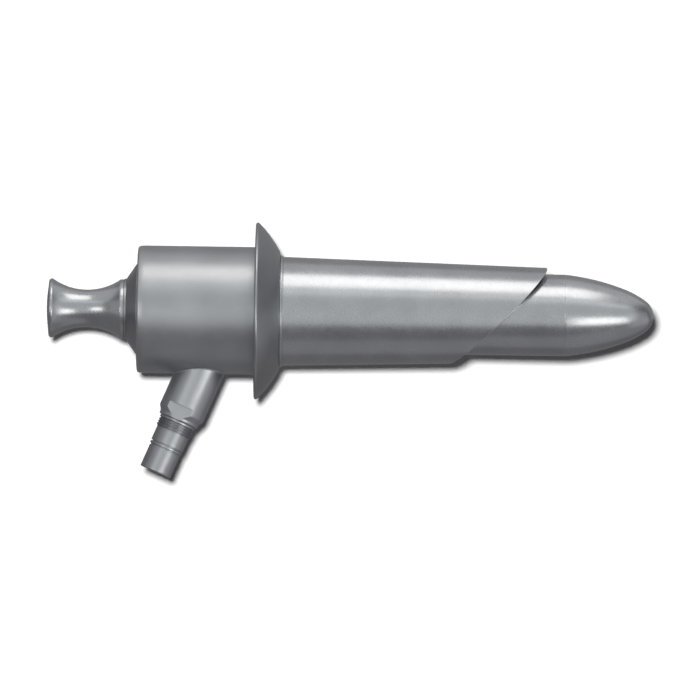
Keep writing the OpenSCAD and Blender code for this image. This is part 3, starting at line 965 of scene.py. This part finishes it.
plug_outline = outline(
    (ROD_R, BARREL_REAR), (BARREL_BORE_R, BARREL_REAR, FINE), (BARREL_BORE_R, plug_front, SPIGOT_ROUND),
    (ROD_R, plug_front),
)
turn("end_plug", plug_outline, TUBE, turned_steel, "barrel_plug")

# %% [markdown]
# Behind the head come a cone, which stops the obturator, and a thin ring, both in a darker tint that paints
# their shade. The tie rod runs through both, from the nose to the knob, and only its rear end is threaded.

# %% The stop cone, the rod and the neck ring
CONE_R, CONE_SMALL_R, CONE_REAR, CONE_LAND, CONE_ROUND = 11.5, 7.75, -39.1, 0.15, 0.15
ROD_PITCH, ROD_DEPTH, ROD_LEAD = 0.8, 0.35, 0.2
NECK_RING_R, NECK_RING_FROM, NECK_RING_TO = 7.6, -39.7, -39.13

cone_outline = outline(
    (ROD_R, CONE_REAR), (CONE_SMALL_R, CONE_REAR, CONE_ROUND), (CONE_R, BARREL_REAR - CONE_LAND, SMALL),
    (CONE_R, BARREL_REAR, SEAM), (ROD_R, BARREL_REAR),
)
turn("stop_collar", cone_outline, TUBE, dark_steel, "stop_cone")
rod_outline = outline(
    (0, ROD_REAR), (ROD_R - ROD_LEAD, ROD_REAR),
    *thread_rows(ROD_R, ROD_REAR + ROD_LEAD, CONE_REAR, ROD_PITCH), (ROD_R, ROD_FRONT, SOFT),
    (0, ROD_FRONT),
)
rod_thread = thread_cut(ROD_DEPTH, ROD_PITCH, ROD_REAR, CONE_REAR, ROD_R)
turn(
    "threaded_rod", rod_outline, TUBE, dark_steel, "obturator_rod",
    steps=FINE_STEPS, threads=(rod_thread,),
)
rod_hole_r = ROD_R + CLEARANCE
neck_outline = outline(
    (rod_hole_r, NECK_RING_FROM, FINE), (NECK_RING_R, NECK_RING_FROM, HAIR),
    (NECK_RING_R, NECK_RING_TO, HAIR), (rod_hole_r, NECK_RING_TO, FINE),
)
turn("neck_ring", neck_outline, TUBE, dark_steel, "neck_washer")

# %% [markdown]
# The knob is a spool: a hollow waist between two rims, which gives thumb and fingers a hold even with wet
# gloves. The waist is one arc that meets both rims where they lean inward, so that the light slides from
# the waist over the rim without a step. The radius of such an arc follows from its depth.

# %% The thumb knob
KNOB_FRONT, KNOB_REAR, KNOB_HOLE_TO = -39.73, -58.53, -48.6
KNOB_RIDGE, KNOB_LEAD = 0.3, 0.3
BEAD_R, BEAD_H, KNOB_LAND, KNOB_EDGE = 0.7, 6.7, 0.7, 0.15
FRONT_BEAD_S = KNOB_FRONT - KNOB_LAND
REAR_BEAD_S = KNOB_REAR + BEAD_R
WAIST_R = 4.7
DOME_R, DOME_RISE, DOME_INSET = 38.7, 0.5, 0.35
BEAD_END = -105  # degrees from outward, where the rear rim runs into the knob's domed end

waist_s = (FRONT_BEAD_S + REAR_BEAD_S) / 2
waist_half = (FRONT_BEAD_S - REAR_BEAD_S) / 2
waist_drop = BEAD_H - WAIST_R
waist_curve = (waist_drop ** 2 + waist_half ** 2 - BEAD_R ** 2) / (2 * (waist_drop + BEAD_R))
lean = math.degrees(math.asin(waist_half / (waist_curve + BEAD_R)))
dome_tilt = math.degrees(math.acos((BEAD_H - DOME_INSET) / DOME_R))
thread_front = KNOB_FRONT - KNOB_LEAD
knob_outline = outline(
    (0, KNOB_HOLE_TO), (rod_hole_r, KNOB_HOLE_TO),
    *thread_rows(rod_hole_r, KNOB_HOLE_TO + THREAD_LEAD, thread_front, ROD_PITCH),
    (rod_hole_r + KNOB_LEAD, KNOB_FRONT, FINE), (BEAD_H + BEAD_R, KNOB_FRONT, KNOB_EDGE),
    *arc(BEAD_H, FRONT_BEAD_S, BEAD_R, 0, -lean, steps=8),
    *arc(WAIST_R + waist_curve, waist_s, waist_curve, 180 - lean, 180 + lean, steps=48)[1:],
    *arc(BEAD_H, REAR_BEAD_S, BEAD_R, lean, BEAD_END, steps=20)[1:],
    *arc(0, KNOB_REAR - DOME_RISE + DOME_R, DOME_R, -dome_tilt, -90, steps=12),
)
print("the knob's waist is an arc of", round(waist_curve, 2), "mm that leans", round(lean, 1), "degrees")
knob_thread = thread_cut(-KNOB_RIDGE, ROD_PITCH, KNOB_HOLE_TO, thread_front, rod_hole_r)
turn("spool_knob", knob_outline, TUBE, smooth_steel, "thumb_knob", threads=(knob_thread,))

# %% [markdown]
# The picture's ground is pure white, with one narrow soft shadow along the lower edges, a little wider at
# the nose than at the knob. A white board behind the shield's rim gives that, when it stands almost square
# to the view and leans away behind the nose. One round lamp beside the camera lights it; the lamp's size
# sets how soft the shadow's edge is. The board casts no shadow, stays out of the reflections, and is clear
# from behind, so that the part can be looked at from every side.

# %% The white board and its light
BOARD_BEHIND = 24  # from the tube's axis, in mm
BOARD_LEAN = math.radians(3.4)
BOARD_R = 250
BOARD_SIDES = 64
LAMP_ABOVE, LAMP_RIGHT = math.radians(3.9), math.radians(-2.5)
LAMP_DISTANCE, LAMP_WIDE, LAMP_POWER = 1.85, 0.15, 40


def toward(above, right):
    """A way out from the object, given by angles above and right of the camera, as the picture has them."""
    flat = view_back * math.cos(above) + view_up_flat * math.sin(above)
    return flat * math.cos(right) + tube_way * math.sin(right)


def facing(way, distance):
    """A placing matrix for a lamp at a distance from the object, square to the line between them."""
    side = (tube_way - tube_way.dot(way) * way).normalized()
    return frame_matrix(side, way.cross(side), way, aim + way * distance)


board_right = view_right * math.cos(BOARD_LEAN) - view_back * math.sin(BOARD_LEAN)
board_front = board_right.cross(view_up)
board_place = frame_matrix(board_right, view_up, board_front, aim - view_back * BOARD_BEHIND * MM)
angles = [2 * math.pi * step / BOARD_SIDES for step in range(BOARD_SIDES)]
rim = [board_place @ (Vector((math.cos(a), math.sin(a), 0)) * BOARD_R * MM) for a in angles]
board_mesh = bpy.data.meshes.new("board")
board_mesh.from_pydata(rim, [], [range(BOARD_SIDES)])
board = add_object("board", board_mesh)
board.visible_glossy = False
board.visible_shadow = False
board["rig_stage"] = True

board_material, graph, shader = new_material("white_board")
mottle = graph.noise(place_in_mm(graph), 0.02)
tint = graph.mix(mottle, colour(0.9, 0.9, 0.9), colour(0.92, 0.92, 0.92))
graph.feed(shader.inputs["Base Color"], tint)
shader.inputs["Roughness"].default_value = 1.0
shader.inputs["Specular IOR Level"].default_value = 0.0
behind = graph.node("ShaderNodeNewGeometry", output="Backfacing")
clear = graph.node("ShaderNodeBsdfTransparent")
front = Wire(graph, shader.outputs["BSDF"])
sides = graph.node("ShaderNodeMixShader", None, {0: behind, 1: front, 2: clear})
graph.feed(graph.tree.nodes["Material Output"].inputs["Surface"], sides)
board_mesh.materials.append(board_material)

lamp_data = bpy.data.lights.new("board_lamp", "AREA")
lamp_data.shape = "DISK"
lamp_data.size = LAMP_WIDE
lamp_data.energy = LAMP_POWER
lamp = add_object("board_lamp", lamp_data)
lamp.matrix_world = facing(toward(LAMP_ABOVE, LAMP_RIGHT), LAMP_DISTANCE)
lamp.visible_camera = False
lamp.visible_glossy = False
print("lamp in m:", [round(part, 2) for part in lamp.matrix_world.translation])

# %% [markdown]
# Steel shows nothing but what it reflects, so its greys are set by large soft boxes and by the dark
# between them. Each box is placed by its angle above and right of the camera, and is given the brightness
# that its reflection needs, not a wattage. The boxes show only in reflections, so they leave the board
# and its shadow alone.

# %% The soft boxes
LIGHT_DISTANCE = 1.0
WHITE, WARM, COOL, VIOLET = (1, 1, 1), (1.06, 1, 0.97), (0.98, 1, 1), (1.04, 1, 1.04)


def softbox(name, above, right, wide, high, brightness, tint):
    """A rectangular light. Its place and its size are angles in degrees as seen from the object."""
    data = bpy.data.lights.new(name, "AREA")
    data.shape = "RECTANGLE"
    data.size = 2 * LIGHT_DISTANCE * math.tan(math.radians(wide / 2))
    data.size_y = 2 * LIGHT_DISTANCE * math.tan(math.radians(high / 2))
    data.energy = brightness * math.pi * data.size * data.size_y
    data.color = tint
    light = add_object(name, data)
    light.matrix_world = facing(toward(math.radians(above), math.radians(right)), LIGHT_DISTANCE)
    light.visible_camera = False
    light.visible_diffuse = False


softbox("key_box", 70, 8, 38, 31, 1.38, WARM)
softbox("top_box", 79, 0, 100, 85, 0.33, WHITE)
softbox("front_box", 10, 11, 100, 78, 0.39, COOL)
softbox("right_box", -18, 33, 28, 19, 1.7, WARM)
softbox("left_box", -3, -26, 20, 14, 1.8, WARM)
softbox("far_box", 148, 20, 100, 60, 0.12, WHITE)
softbox("low_box", -84, 40, 90, 50, 0.1, VIOLET)
softbox("side_box", -30, 70, 40, 50, 0.15, WHITE)
softbox("rear_box", 12, -66, 30, 40, 0.2, WHITE)
print("lights:", len(bpy.data.lights))

# %% [markdown]
# The world is white behind everything, an even dim grey in reflections, and darker still as the board
# sees it, which sets how dark the shadow is. The light path tells the three kinds of ray apart.

# %% The world
WORLD_GREY, SHADOW_GREY = 0.175, 0.05
WORLD_TINT = (1.05, 1, 1.055)  # the picture's dark greys lean to violet

world = bpy.data.worlds.new("studio")
world.use_nodes = True
bpy.context.scene.world = world
air = Graph(world.node_tree)
seen = air.node("ShaderNodeLightPath", output="Is Camera Ray")
mirrored = air.node("ShaderNodeLightPath", output="Is Glossy Ray")
background = world.node_tree.nodes["Background"]
background.inputs["Color"].default_value = colour(*WORLD_TINT)
strength = SHADOW_GREY + (1 - SHADOW_GREY) * seen + (WORLD_GREY - SHADOW_GREY) * mirrored
air.feed(background.inputs["Strength"], strength)
print("nodes in the world:", len(world.node_tree.nodes))

# %% [markdown]
# The finished pieces must keep the frame's size, so the dressed box less the frame's box is printed at
# both corners.

# %% Sizes against the frame
low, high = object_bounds()
for side, dressed, cad in (("low", low, cad_low), ("high", high, cad_high)):
    print("dressed less frame in mm,", side, [round(part / MM, 3) for part in dressed - cad])
